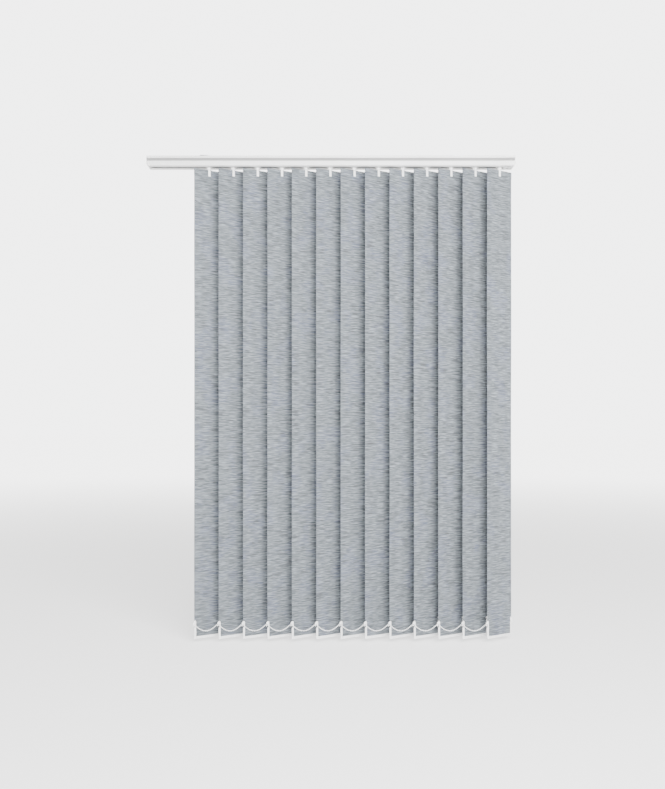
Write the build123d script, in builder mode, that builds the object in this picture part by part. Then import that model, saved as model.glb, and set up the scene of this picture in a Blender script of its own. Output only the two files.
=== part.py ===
"""Vertical blind for a window recess: headrail, tilt drive, thirteen louvres and two bottom chains."""

from build123d import *
import math
import os

os.makedirs("parts", exist_ok=True)

# Frame: millimetres, +Z up, +X along the rail towards the control end, -Y towards the room.
# The origin is the middle of the ceiling face that both brackets are screwed to.

# Overall sizes
overall_width = 1034.0
louvre_count = 13
louvre_width = 89.0
fabric_length = 1312.0
rest_angle = 30.0

# Louvre spacing along the rail, between hook axes
rest_pitch = 68.3
control_end_margin = 41.1

# Headrail extrusion
bracket_gap = 4.0
rail_height = 28.0
rail_depth = 42.0
rail_wall = 1.3
rail_slot = 14.0
rail_bead_depth = 5.6
rail_band_depth = 7.6
rail_band_recess = 4.0
rail_band_lean = 2.0
rail_bead_recess = 1.0
rail_lip_round = 4.0
rail_step = 1.4

# Bracket ribs on the rail's top, and the brackets that clip over them
rib_offset = 10.0
rib_web = 1.2
rib_lip = 1.8
rib_lip_thickness = 0.9
rib_height = 2.5
bracket_spacing = 700.0
bracket_length = 34.0
bracket_plate = 1.2
bracket_jaw = 1.2
bracket_hook_thickness = 0.7
bracket_clearance = 0.2
bracket_hole_radius = 2.2
bracket_hole_spacing = 13.0

# End units
control_unit_length = 30.0
end_plate = 8.0
end_corner = 7.0
unit_wall = 1.8
plug_clearance = 0.4
plug_length = 28.0

# Tilt rod: a fluted pinion rod that every hook's sector gear meshes with
rod_outer_radius = 2.9
rod_root_radius = 1.7
rod_flutes = 6
rod_tip_width = 0.5
rod_base_width = 1.0
rod_running_clearance = 0.3
rod_end_gap = 0.5
bush_clearance = 0.08
bush_outer_radius = 4.6
bush_length = 4.0
bush_seat_clearance = 0.05

# Hook: sector gear, stem, collar and two-pronged hook
gear_teeth = 18
sector_teeth = 8
sector_start = -130.0
gear_inner_radius = 6.0
gear_outer_radius = 7.5
gear_disc_radius = 7.6
gear_disc_thickness = 1.8
gear_tooth_height = 1.2
gear_tooth_width = 0.45
mesh_clearance = 0.3
stem_radius = 2.5
stem_clearance = 0.08
collar_radius = 6.5
collar_gap = 0.6
prong_width = 6.6
prong_thickness = 1.4
prong_reach = 18.0
prong_clearance = 0.3
peg_radius = 1.2
peg_depth = 9.0

# Carrier
carrier_length = 19.0
carrier_side_clearance = 2.2
carrier_glide_clearance = 0.2
carrier_base = 2.2
carrier_boss_radius = 6.0
carrier_boss_drop = 1.0
carrier_neck_radius = 5.0
carrier_neck_height = 4.8
carrier_axial_clearance = 0.2
carrier_wall = 1.4
carrier_wall_width = 14.0
carrier_wall_above_rod = 4.8

# Spacer strips between carriers
strip_near = 10.0
strip_width = 4.0
strip_thickness = 0.2
strip_pad_height = 0.3
strip_tail = 6.0
strip_reach = 85.0
strip_slope = 0.0175
strip_seat_gap = 0.05

# Louvre: fabric with a welded top pocket and bottom pocket
louvre_gap = 7.0
fabric_thickness = 0.5
pocket_clearance = 0.15
hanger_width = 62.0
hanger_height = 15.0
hanger_thickness = 1.2
hanger_drop = 2.0
hanger_window = 4.6
pocket_seam = 3.0

# Bottom weight and its chain clips
weight_height = 49.0
weight_thickness = 2.0
weight_below_fabric = 6.8
weight_side_reveal = 5.5
weight_lug_height = 33.0
weight_lug_inset = 2.7
clip_length = 7.3
clip_rim = 0.5
clip_thickness = 3.4
clip_wall_gap = 0.1
clip_lower = 42.0
clip_shoulder = 45.5
clip_upper = 50.5
clip_tip = 2.6
post_overhang = 2.5
post_radius = 0.8
post_length = 5.0
post_head_radius = 1.4
post_head_height = 0.8

# Bottom chains
chain_diameter = 3.2
chain_height = 39.8
chain_sag = 16.5
chain_ring_clearance = 0.25
chain_ring_radius = 2.0
chain_ring_height = 2.2
chain_ring_gap = 1.4
chain_runs = 6
chain_arc_share = 0.45

# Chain wheel and cord pulleys
wheel_radius = 9.0
wheel_width = 7.0
wheel_pockets = 8
wheel_pocket_radius = 2.5
wheel_hub_radius = 5.0
wheel_hub_length = 2.0
wheel_bore_clearance = 0.06
wheel_gap = 2.5
chain_outlet = 7.0
guide_pulley_radius = 5.0
guide_pulley_width = 3.6
guide_pulley_offset = 12.4
return_pulley_radius = 11.0
return_pulley_width = 4.0
pulley_groove = 1.0
pulley_pin_radius = 1.5
pulley_running_clearance = 0.06
pulley_side_clearance = 0.4
guide_pulley_drop = 12.0
cord_outlet = 5.0

# Levels worked out from the sizes above
rail_top = -bracket_gap
rail_bottom = rail_top - rail_height
rail_floor = rail_bottom + rail_wall
rail_roof = rail_top - rail_wall
rail_start = -overall_width / 2 + end_plate
rail_end = overall_width / 2 - control_unit_length
carrier_bottom = rail_floor + carrier_glide_clearance
carrier_deck = carrier_bottom + carrier_base
neck_top = carrier_deck + carrier_neck_height
disc_bottom = neck_top + carrier_axial_clearance
disc_top = disc_bottom + gear_disc_thickness
rod_level = disc_top + mesh_clearance + rod_outer_radius
louvre_top = rail_bottom - louvre_gap
fabric_bottom = louvre_top - fabric_length
weight_bottom = fabric_bottom - weight_below_fabric
weight_top = weight_bottom + weight_height
top_pocket_bottom = louvre_top - hanger_drop - hanger_height - pocket_seam
bottom_pocket_top = weight_top + pocket_seam
hanger_pocket = hanger_thickness + 2 * pocket_clearance
weight_pocket = weight_thickness + 2 * pocket_clearance
hook_gap = hanger_pocket + 2 * fabric_thickness + 2 * prong_clearance
post_reach = louvre_width / 2 + post_overhang
chain_level = weight_bottom + chain_height
control_end_axis = overall_width / 2 - control_end_margin
wall_top = rod_level + carrier_wall_above_rod
rod_start = rail_start + rod_end_gap
rod_finish = overall_width / 2 - unit_wall - rod_end_gap
chain_wheel_place = rail_end + bush_length + wheel_hub_length + wheel_gap + wheel_width / 2
guide_pulley_place = chain_wheel_place + wheel_width / 2 + guide_pulley_radius / 2
guide_pulley_level = rail_top - guide_pulley_drop
cord_outlet_place = guide_pulley_place + guide_pulley_radius
return_pulley_place = rail_start + bush_length + pulley_side_clearance + return_pulley_radius
return_pulley_level = (
    rail_roof - plug_clearance - unit_wall - pulley_side_clearance - return_pulley_width / 2
)

angle = math.radians(rest_angle)
across = Vector(math.cos(angle), math.sin(angle), 0)
hook_places = [
    control_end_axis - (louvre_count - 1 - number) * rest_pitch for number in range(louvre_count)
]


def louvre_plane(place, level):
    """Level plane on a hook's axis: its x runs across the louvre and its y to the window side."""
    return Plane(origin=(place, 0, level), x_dir=across, z_dir=(0, 0, 1))


def finish(builder, name):
    """Label a finished piece and write it."""
    builder.part.label = name
    export_step(builder.part, f"parts/{name}.step")


def rail_outline():
    """Corners of the headrail's outer shape, across and up: a top bead, a recessed band, a full lip."""
    half = rail_depth / 2
    top = rail_top
    bottom = rail_bottom
    bead = rail_top - rail_bead_depth
    band = bead - rail_band_depth
    right_side = [
        (half - rail_bead_recess, top),
        (half - rail_bead_recess, bead),
        (half - rail_band_recess + rail_band_lean, bead - rail_step),
        (half - rail_band_recess, band),
        (half, band - rail_step),
        (half, bottom),
    ]
    left_side = [(-y, z) for y, z in reversed(right_side)]
    return [*right_side, *left_side]


def end_cutter(outer_end, side):
    """Block that takes the square lower corner off an end unit, leaving a rounded one."""
    centre = outer_end - side * end_corner
    level = rail_bottom + end_corner
    with BuildPart() as cutter:
        with BuildSketch(Plane.XZ):
            with Locations((centre + side * end_corner / 2, level - end_corner / 2)):
                Rectangle(end_corner, end_corner)
            with Locations((centre, level)):
                Circle(end_corner, mode=Mode.SUBTRACT)
        extrude(amount=rail_depth, both=True)
    return cutter.part


def headrail():
    """Aluminium extrusion: a C channel with a slot below and two bracket ribs on top."""
    with BuildPart() as rail:
        with BuildSketch(Plane.YZ.offset(rail_start)) as section:
            with BuildLine():
                Polyline(*rail_outline(), close=True)
            make_face()
            fillet(section.vertices().group_by(Axis.Y)[0], radius=rail_lip_round)
            offset(amount=-rail_wall, kind=Kind.INTERSECTION, mode=Mode.SUBTRACT)
            with Locations((0, rail_bottom)):
                Rectangle(rail_slot, 4 * rail_wall, mode=Mode.SUBTRACT)
            web_middle = rib_offset + rib_web / 2
            web_level = rail_top + (rib_height - rail_wall) / 2
            lip_middle = rib_offset + rib_web + rib_lip / 2
            lip_level = rail_top + rib_height - rib_lip_thickness / 2
            for side in (-1, 1):
                with Locations((side * web_middle, web_level)):
                    Rectangle(rib_web, rib_height + rail_wall)
                with Locations((side * lip_middle, lip_level)):
                    Rectangle(rib_lip, rib_lip_thickness)
        extrude(amount=rail_end - rail_start)
    return rail


def bracket(place):
    """Spring clip bracket: a plate with four screw holes between jaws that hold the rail's ribs."""
    inner = rib_offset + rib_web + rib_lip + bracket_clearance
    hook_top = rail_top + rib_height - rib_lip_thickness - bracket_clearance
    hook_middle = inner - rib_lip / 2 + bracket_jaw / 2
    leg_bottom = hook_top - bracket_hook_thickness
    with BuildPart() as clip:
        with BuildSketch(Plane.YZ.offset(place - bracket_length / 2)):
            with Locations((0, -bracket_plate / 2)):
                Rectangle(2 * (inner + bracket_jaw), bracket_plate)
            for side in (-1, 1):
                with Locations((side * (inner + bracket_jaw / 2), leg_bottom / 2)):
                    Rectangle(bracket_jaw, -leg_bottom)
                with Locations((side * hook_middle, hook_top - bracket_hook_thickness / 2)):
                    Rectangle(rib_lip + bracket_jaw, bracket_hook_thickness)
        extrude(amount=bracket_length)
        with Locations((place, 0, 0)):
            with GridLocations(0, bracket_hole_spacing, 1, 2):
                Hole(bracket_hole_radius, depth=2 * bracket_plate)
    return clip


def control_housing():
    """Moulded end unit that carries the rod's driven end, the chain wheel and two cord pulleys."""
    outer_end = overall_width / 2
    middle = (rail_end + outer_end) / 2
    inside_half = rail_depth / 2 - unit_wall
    with BuildPart() as housing:
        with BuildSketch(Plane.YZ.offset(rail_end)) as section:
            with BuildLine():
                Polyline(*rail_outline(), close=True)
            make_face()
            fillet(section.vertices().group_by(Axis.Y)[0], radius=rail_lip_round)
        extrude(amount=control_unit_length)
        add(end_cutter(outer_end, 1), mode=Mode.SUBTRACT)
        cavity_bottom = rail_bottom + unit_wall
        cavity_top = rail_top - unit_wall
        with Locations((middle, 0, (cavity_bottom + cavity_top) / 2)):
            Box(
                control_unit_length - 2 * unit_wall,
                2 * (inside_half - rail_band_recess),
                cavity_top - cavity_bottom,
                mode=Mode.SUBTRACT,
            )
        with BuildSketch(Plane.YZ.offset(outer_end - unit_wall - bush_length)):
            with Locations((0, rod_level)):
                Circle(bush_outer_radius + unit_wall)
        extrude(amount=bush_length)
        with BuildSketch(Plane.YZ.offset(rail_end)):
            with Locations((0, rod_level)):
                Circle(bush_outer_radius + bush_seat_clearance)
        extrude(amount=unit_wall, mode=Mode.SUBTRACT)
        with BuildSketch(Plane.YZ.offset(outer_end - unit_wall - bush_length)):
            with Locations((0, rod_level)):
                Circle(rod_outer_radius + bush_clearance)
        extrude(amount=bush_length, mode=Mode.SUBTRACT)
        pin_start = guide_pulley_offset - guide_pulley_width / 2 - unit_wall / 2
        for side in (-1, 1):
            with BuildSketch(Plane.XZ.offset(-side * pin_start)):
                with Locations((guide_pulley_place, guide_pulley_level)):
                    Circle(pulley_pin_radius)
            extrude(amount=-side * (inside_half - guide_pulley_offset + guide_pulley_width / 2))
        with Locations((chain_wheel_place, 0, rail_bottom + unit_wall / 2)):
            with GridLocations(0, 2 * wheel_radius, 1, 2):
                Box(chain_outlet, chain_outlet, 3 * unit_wall, mode=Mode.SUBTRACT)
        with Locations((cord_outlet_place, 0, rail_bottom + unit_wall / 2)):
            with GridLocations(0, 2 * guide_pulley_offset, 1, 2):
                Box(cord_outlet, cord_outlet, 3 * unit_wall, mode=Mode.SUBTRACT)
    return housing


def idle_end_cap():
    """Moulded cap at the far end: outer plate, shelf with the return pulley's pin, rod bearing block."""
    outer_end = -overall_width / 2
    shelf_top = rail_roof - plug_clearance
    shelf_length = plug_length
    block_half = bush_outer_radius + unit_wall
    with BuildPart() as cap:
        with BuildSketch(Plane.YZ.offset(outer_end)) as section:
            with BuildLine():
                Polyline(*rail_outline(), close=True)
            make_face()
            fillet(section.vertices().group_by(Axis.Y)[0], radius=rail_lip_round)
        extrude(amount=end_plate)
        add(end_cutter(outer_end, -1), mode=Mode.SUBTRACT)
        with Locations((outer_end + end_plate + shelf_length / 2, 0, shelf_top - unit_wall / 2)):
            Box(shelf_length, 2 * (return_pulley_radius + unit_wall), unit_wall)
        with Locations((outer_end + end_plate + bush_length / 2, 0, rod_level)):
            Box(bush_length, 2 * block_half, 2 * block_half)
        with BuildSketch(Plane.YZ.offset(outer_end + end_plate)):
            with Locations((0, rod_level)):
                Circle(bush_outer_radius + bush_seat_clearance)
        extrude(amount=bush_length, mode=Mode.SUBTRACT)
        pin_top = shelf_top - unit_wall
        with BuildSketch(Plane.XY.offset(pin_top)):
            with Locations((return_pulley_place, 0)):
                Circle(pulley_pin_radius)
        extrude(amount=-(return_pulley_width + 2 * pulley_side_clearance))
        with BuildSketch(Plane.XY.offset(pin_top - return_pulley_width - 2 * pulley_side_clearance)):
            with Locations((return_pulley_place, 0)):
                Circle(pulley_pin_radius + unit_wall / 2)
        extrude(amount=-unit_wall / 2)
    return cap


def tilt_rod():
    """Extruded aluminium pinion rod, the full length of the rail."""
    with BuildPart() as rod:
        with BuildSketch(Plane.YZ.offset(rod_start)):
            with Locations((0, rod_level)):
                Circle(rod_root_radius)
                with PolarLocations(0, rod_flutes, start_angle=-90):
                    Polygon(
                        (0, -rod_base_width / 2),
                        (rod_outer_radius, -rod_tip_width / 2),
                        (rod_outer_radius, rod_tip_width / 2),
                        (0, rod_base_width / 2),
                        align=None,
                    )
        extrude(amount=rod_finish - rod_start)
    return rod


def rod_bush(start):
    """Acetal bush round the rod's end."""
    with BuildPart() as bush:
        with BuildSketch(Plane.YZ.offset(start)):
            with Locations((0, rod_level)):
                Circle(bush_outer_radius)
                Circle(rod_outer_radius + bush_clearance, mode=Mode.SUBTRACT)
        extrude(amount=bush_length)
    return bush


def chain_wheel():
    """Sprocket on the rod for a bead chain: a grooved disc with eight bead pockets and a hub."""
    with BuildPart() as wheel:
        with BuildSketch(Plane.YZ.offset(chain_wheel_place - wheel_width / 2)):
            with Locations((0, rod_level)):
                Circle(wheel_radius)
        extrude(amount=wheel_width)
        with BuildSketch(Plane.YZ.offset(chain_wheel_place - wheel_width / 2 - wheel_hub_length)):
            with Locations((0, rod_level)):
                Circle(wheel_hub_radius)
        extrude(amount=wheel_hub_length)
        for number in range(wheel_pockets):
            turn = 2 * math.pi * number / wheel_pockets
            pocket = (
                chain_wheel_place,
                wheel_radius * math.cos(turn),
                rod_level + wheel_radius * math.sin(turn),
            )
            with Locations(pocket):
                Sphere(wheel_pocket_radius, mode=Mode.SUBTRACT)
        with BuildSketch(Plane.YZ.offset(chain_wheel_place - wheel_width)):
            with Locations((0, rod_level)):
                Circle(rod_outer_radius + wheel_bore_clearance)
        extrude(amount=2 * wheel_width, mode=Mode.SUBTRACT)
    return wheel


def pulley(middle_plane, radius, width):
    """Grooved cord pulley with a bored hub, centred on a plane."""
    with BuildPart() as wheel:
        with BuildSketch(middle_plane.offset(-width / 2)):
            Circle(radius)
        extrude(amount=width)
        with BuildSketch(middle_plane.offset(-pulley_groove / 2)):
            Circle(radius + pulley_groove)
            Circle(radius - pulley_groove, mode=Mode.SUBTRACT)
        extrude(amount=pulley_groove, mode=Mode.SUBTRACT)
        with BuildSketch(middle_plane.offset(-width)):
            Circle(pulley_pin_radius + pulley_running_clearance)
        extrude(amount=2 * width, mode=Mode.SUBTRACT)
    return wheel


def carrier(place, with_strip):
    """Moulded glider: deck on the rail's lips, stem bearing, two walls round the rod, spacer strip."""
    deck_half = rail_depth / 2 - rail_wall - carrier_side_clearance
    wall_inset = (carrier_length - carrier_wall) / 2
    with BuildPart() as glider:
        with BuildSketch(Plane.XY.offset(carrier_bottom)):
            with Locations((place, 0)):
                RectangleRounded(carrier_length, 2 * deck_half, carrier_wall)
        extrude(amount=carrier_base)
        with BuildSketch(Plane.XY.offset(rail_bottom - carrier_boss_drop)):
            with Locations((place, 0)):
                Circle(carrier_boss_radius)
        extrude(amount=carrier_bottom - rail_bottom + carrier_boss_drop)
        with BuildSketch(Plane.XY.offset(carrier_deck)):
            with Locations((place, 0)):
                Circle(carrier_neck_radius)
        extrude(amount=carrier_neck_height)
        with BuildSketch(Plane.XY.offset(carrier_deck)):
            with Locations((place, 0)):
                with GridLocations(2 * wall_inset, 0, 2, 1):
                    Rectangle(carrier_wall, carrier_wall_width)
        extrude(amount=wall_top - carrier_deck)
        with BuildSketch(Plane.YZ.offset(place - carrier_length)):
            with Locations((0, rod_level)):
                Circle(rod_outer_radius + rod_running_clearance)
        extrude(amount=2 * carrier_length, mode=Mode.SUBTRACT)
        with BuildSketch(Plane.XY.offset(rail_bottom - 2 * carrier_boss_drop)):
            with Locations((place, 0)):
                Circle(stem_radius + stem_clearance)
        extrude(amount=neck_top - rail_bottom + 3 * carrier_boss_drop, mode=Mode.SUBTRACT)
        if with_strip:
            with BuildSketch(Plane.XY.offset(carrier_deck)):
                with Locations((place, strip_near + strip_width / 2)):
                    Rectangle(2 * strip_tail, strip_width)
            extrude(amount=strip_pad_height - strip_seat_gap)
            strip_level = carrier_deck + strip_pad_height
            tail = place + strip_tail
            tip = place - strip_reach
            rise = strip_slope * (tail - tip)
            with BuildSketch(Plane.XZ.offset(-strip_near)):
                Polygon(
                    (tail, strip_level),
                    (tail, strip_level + strip_thickness),
                    (tip, strip_level + rise + strip_thickness),
                    (tip, strip_level + rise),
                    align=None,
                )
            extrude(amount=-strip_width)
    return glider


def hook(place):
    """Acetal moulding: toothed sector and disc, stem, collar, and the prongs that hold a louvre."""
    collar_top = rail_bottom - carrier_boss_drop - collar_gap
    collar_bottom = louvre_top + collar_gap
    prong_bottom = louvre_top - prong_reach
    tooth_step = 360 / gear_teeth
    tooth_middle = (gear_inner_radius + gear_outer_radius) / 2
    with BuildPart() as moulding:
        with BuildSketch(louvre_plane(place, disc_bottom)):
            Circle(gear_disc_radius)
        extrude(amount=gear_disc_thickness)
        with BuildSketch(louvre_plane(place, disc_top)):
            with PolarLocations(
                tooth_middle,
                sector_teeth,
                start_angle=sector_start - rest_angle,
                angular_range=tooth_step * sector_teeth,
            ):
                Rectangle(gear_outer_radius - gear_inner_radius, gear_tooth_width)
        extrude(amount=gear_tooth_height)
        with BuildSketch(louvre_plane(place, collar_top)):
            Circle(stem_radius)
        extrude(amount=disc_bottom - collar_top)
        with BuildSketch(louvre_plane(place, collar_bottom)):
            Circle(collar_radius)
        extrude(amount=collar_top - collar_bottom)
        with BuildSketch(louvre_plane(place, prong_bottom)):
            with GridLocations(0, hook_gap + prong_thickness, 1, 2):
                Rectangle(prong_width, prong_thickness)
        extrude(amount=collar_bottom - prong_bottom)
        peg_plane = Plane(
            origin=(place, 0, louvre_top - peg_depth),
            x_dir=across,
            z_dir=Vector(-across.Y, across.X, 0),
        )
        with BuildSketch(peg_plane.offset(-hook_gap / 2 - prong_thickness / 2)):
            Circle(peg_radius)
        extrude(amount=hook_gap + prong_thickness)
    return moulding


def louvre(place):
    """Fabric with its welded pockets, hanger plate, bottom weight and the two chain clips."""
    bottom_pocket_width = louvre_width - 2 * weight_side_reveal
    window_plane = Plane(
        origin=(place, 0, louvre_top - peg_depth),
        x_dir=across,
        z_dir=Vector(-across.Y, across.X, 0),
    )
    with BuildPart() as fabric:
        with BuildSketch(louvre_plane(place, top_pocket_bottom)):
            Rectangle(louvre_width, hanger_pocket + 2 * fabric_thickness)
        extrude(amount=louvre_top - top_pocket_bottom)
        with BuildSketch(louvre_plane(place, bottom_pocket_top)):
            Rectangle(louvre_width, fabric_thickness)
        extrude(amount=top_pocket_bottom - bottom_pocket_top)
        with BuildSketch(louvre_plane(place, fabric_bottom)):
            Rectangle(bottom_pocket_width, weight_pocket + 2 * fabric_thickness)
        extrude(amount=bottom_pocket_top - fabric_bottom)
        with BuildSketch(louvre_plane(place, top_pocket_bottom + pocket_seam)):
            Rectangle(hanger_width + 2 * pocket_clearance, hanger_pocket)
        extrude(amount=hanger_height, mode=Mode.SUBTRACT)
        with BuildSketch(louvre_plane(place, fabric_bottom - pocket_seam)):
            Rectangle(louvre_width, weight_pocket)
        extrude(amount=bottom_pocket_top - fabric_bottom, mode=Mode.SUBTRACT)
        with BuildSketch(window_plane.offset(-hook_gap)):
            Rectangle(hanger_window, hanger_window)
        extrude(amount=2 * hook_gap, mode=Mode.SUBTRACT)
    with BuildPart() as hanger:
        with BuildSketch(louvre_plane(place, top_pocket_bottom + pocket_seam + pocket_clearance)):
            Rectangle(hanger_width, hanger_thickness)
        extrude(amount=hanger_height - 2 * pocket_clearance)
        with BuildSketch(window_plane.offset(-hook_gap)):
            Rectangle(hanger_window - 1, hanger_window - 1)
        extrude(amount=2 * hook_gap, mode=Mode.SUBTRACT)
    with BuildPart() as weight:
        with BuildSketch(louvre_plane(place, weight_bottom)):
            RectangleRounded(louvre_width, weight_thickness, weight_thickness / 2 - 0.05)
        extrude(amount=weight_lug_height)
        with BuildSketch(louvre_plane(place, weight_bottom + weight_lug_height)):
            Rectangle(louvre_width - 2 * weight_lug_inset, weight_thickness)
        extrude(amount=weight_height - weight_lug_height - pocket_clearance)
    clips = [chain_clip(place, side) for side in (-1, 1)]
    return Compound(children=[fabric.part, hanger.part, weight.part, *[clip.part for clip in clips]])


def chain_clip(place, side):
    """Clip snapped over the weight's top corner, with a headed post for the chain's ring."""
    outer = side * (post_reach + post_radius + clip_rim)
    inner = outer - side * clip_length
    lug_end = side * (louvre_width / 2 - weight_lug_inset)
    face_plane = Plane(
        origin=(place, 0, weight_bottom),
        x_dir=across,
        z_dir=Vector(across.Y, -across.X, 0),
    )
    with BuildPart() as clip:
        with BuildSketch(face_plane):
            Polygon(
                (inner, clip_lower),
                (outer, clip_lower),
                (outer, clip_shoulder),
                (inner + side * clip_tip, clip_upper),
                (inner, clip_upper),
                align=None,
            )
        extrude(amount=clip_thickness / 2, both=True)
        with BuildSketch(louvre_plane(place, weight_bottom + clip_lower - clip_wall_gap)):
            with Locations((lug_end - side * clip_length / 2 + side * clip_wall_gap, 0)):
                Rectangle(clip_length, weight_thickness + 2 * clip_wall_gap)
        extrude(amount=weight_height - clip_lower + 2 * clip_wall_gap, mode=Mode.SUBTRACT)
        with BuildSketch(louvre_plane(place, weight_bottom + clip_lower)):
            with Locations((side * post_reach, 0)):
                Circle(post_radius)
        extrude(amount=-post_length)
        with BuildSketch(louvre_plane(place, weight_bottom + clip_lower - post_length)):
            with Locations((side * post_reach, 0)):
                Circle(post_head_radius)
        extrude(amount=-post_head_height)
    return clip


def chain_post(place, side):
    """Middle of a clip's post, at the level of the chain."""
    return Vector(place, 0, chain_level) + across * (side * post_reach)


def chain_ring(place, side):
    """End ring of a chain link, round a clip's post."""
    post = chain_post(place, side)
    with BuildPart() as ring:
        with BuildSketch(Plane(origin=post - Vector(0, 0, chain_ring_height / 2))):
            Circle(chain_ring_radius)
            Circle(post_radius + chain_ring_clearance, mode=Mode.SUBTRACT)
        extrude(amount=chain_ring_height)
    return ring


def chain_span(place, side):
    """One hanging span, from the ring at this louvre to the ring at the next one."""
    start = chain_post(place, side) + Vector(chain_ring_radius + chain_ring_gap, 0, 0)
    width = rest_pitch - 2 * (chain_ring_radius + chain_ring_gap)
    points = []
    for number in range(chain_runs + 1):
        share = number / chain_runs
        drop = 4 * chain_sag * share * (1 - share)
        points.append(start + Vector(width * share, 0, -drop))
    radii = []
    for before, corner, after in zip(points, points[1:], points[2:]):
        arriving = corner - before
        leaving = after - corner
        turn = math.radians(arriving.get_angle(leaving))
        radii.append(chain_arc_share * min(arriving.length, leaving.length) / math.tan(turn / 2))
    with BuildPart() as span:
        with BuildLine() as route:
            FilletPolyline(*points, radius=radii)
        with BuildSketch(Plane(origin=route.line @ 0, z_dir=route.line % 0)):
            Circle(chain_diameter / 2)
        sweep(path=route.line)
    return span


finish(headrail(), "headrail")
finish(control_housing(), "control_housing")
finish(idle_end_cap(), "idle_end_cap")
finish(bracket(-bracket_spacing / 2), "bracket_idle")
finish(bracket(bracket_spacing / 2), "bracket_control")
finish(tilt_rod(), "tilt_rod")
finish(rod_bush(rail_start + bush_seat_clearance), "rod_bush_idle")
finish(rod_bush(rail_end - bush_seat_clearance), "rod_bush_control")
finish(chain_wheel(), "chain_wheel")
for side, name in ((-1, "guide_pulley_front"), (1, "guide_pulley_back")):
    middle = Plane(
        origin=(guide_pulley_place, side * guide_pulley_offset, guide_pulley_level),
        x_dir=(1, 0, 0),
        z_dir=(0, 1, 0),
    )
    finish(pulley(middle, guide_pulley_radius, guide_pulley_width), name)
finish(
    pulley(
        Plane(origin=(return_pulley_place, 0, return_pulley_level)),
        return_pulley_radius,
        return_pulley_width,
    ),
    "return_pulley",
)
for number, place in enumerate(hook_places, start=1):
    finish(carrier(place, with_strip=number > 1), f"carrier_{number:02d}")
    finish(hook(place), f"hook_{number:02d}")
    pieces = louvre(place)
    pieces.label = f"louvre_{number:02d}"
    export_step(pieces, f"parts/louvre_{number:02d}.step")
for side, name in ((-1, "front_chain"), (1, "back_chain")):
    spans = [chain_span(place, side).part for place in hook_places[:-1]]
    rings = [chain_ring(place, side).part for place in hook_places[1:]]
    chain = Compound(children=[*spans, *rings])
    chain.label = name
    export_step(chain, f"parts/{name}.step")
    finish(chain_ring(hook_places[0], side), f"{name}_end")
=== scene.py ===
import math

import bmesh
import bpy
from mathutils import Euler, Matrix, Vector


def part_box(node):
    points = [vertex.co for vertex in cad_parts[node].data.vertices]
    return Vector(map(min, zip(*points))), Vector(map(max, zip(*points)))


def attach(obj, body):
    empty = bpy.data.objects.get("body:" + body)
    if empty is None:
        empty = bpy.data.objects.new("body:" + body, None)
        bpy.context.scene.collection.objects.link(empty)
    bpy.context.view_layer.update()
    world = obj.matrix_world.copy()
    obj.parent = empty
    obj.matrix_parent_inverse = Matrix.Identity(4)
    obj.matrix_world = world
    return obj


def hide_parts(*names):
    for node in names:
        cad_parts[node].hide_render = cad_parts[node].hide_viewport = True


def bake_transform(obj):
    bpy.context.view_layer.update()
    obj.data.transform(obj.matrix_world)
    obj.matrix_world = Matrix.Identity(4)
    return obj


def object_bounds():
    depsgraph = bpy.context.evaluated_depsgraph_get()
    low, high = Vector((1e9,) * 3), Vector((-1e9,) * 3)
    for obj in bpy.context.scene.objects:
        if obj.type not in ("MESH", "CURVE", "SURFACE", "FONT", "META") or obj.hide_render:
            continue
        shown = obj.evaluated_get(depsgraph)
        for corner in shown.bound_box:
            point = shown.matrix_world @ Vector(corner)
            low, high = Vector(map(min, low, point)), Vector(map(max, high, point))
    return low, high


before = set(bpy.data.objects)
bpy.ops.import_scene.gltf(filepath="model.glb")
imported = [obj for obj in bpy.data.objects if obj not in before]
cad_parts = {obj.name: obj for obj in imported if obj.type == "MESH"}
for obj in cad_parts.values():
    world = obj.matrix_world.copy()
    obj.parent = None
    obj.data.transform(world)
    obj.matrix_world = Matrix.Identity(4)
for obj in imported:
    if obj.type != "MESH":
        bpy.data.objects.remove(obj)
cad_low, cad_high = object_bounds()

# ---------------------------------------------------------------------------------------------
# Headrail: a white powder-coated aluminium extrusion with a bead, a recessed band and a full
# rounded lip on each side, slotted below and ribbed on top for its brackets. The extrusion
# comes from the frame; its sharp corners get the small radius that the die leaves on them.
RAIL_CORNER = 0.00045
WELD_DISTANCE = 1e-6
FLAT_WITHIN_DEGREES = 1.0
ROUND_OVER_DEGREES = 35
SHARP_OVER_DEGREES = 32

# Where the faces of the recessed band lie: their levels, and their distance from the rail's middle.
BAND_LOW = -0.0174
BAND_HIGH = -0.0098
BAND_INSIDE = 0.0165
BAND_OUTSIDE = 0.0199


def placed(name, data):
    """New object with this data, linked into the scene."""
    thing = bpy.data.objects.new(name, data)
    bpy.context.scene.collection.objects.link(thing)
    return thing


def evaluated_mesh(holder):
    """Mesh of an object as its modifiers or its curve settings make it."""
    bpy.context.view_layer.update()
    depsgraph = bpy.context.evaluated_depsgraph_get()
    return bpy.data.meshes.new_from_object(holder.evaluated_get(depsgraph))


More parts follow.
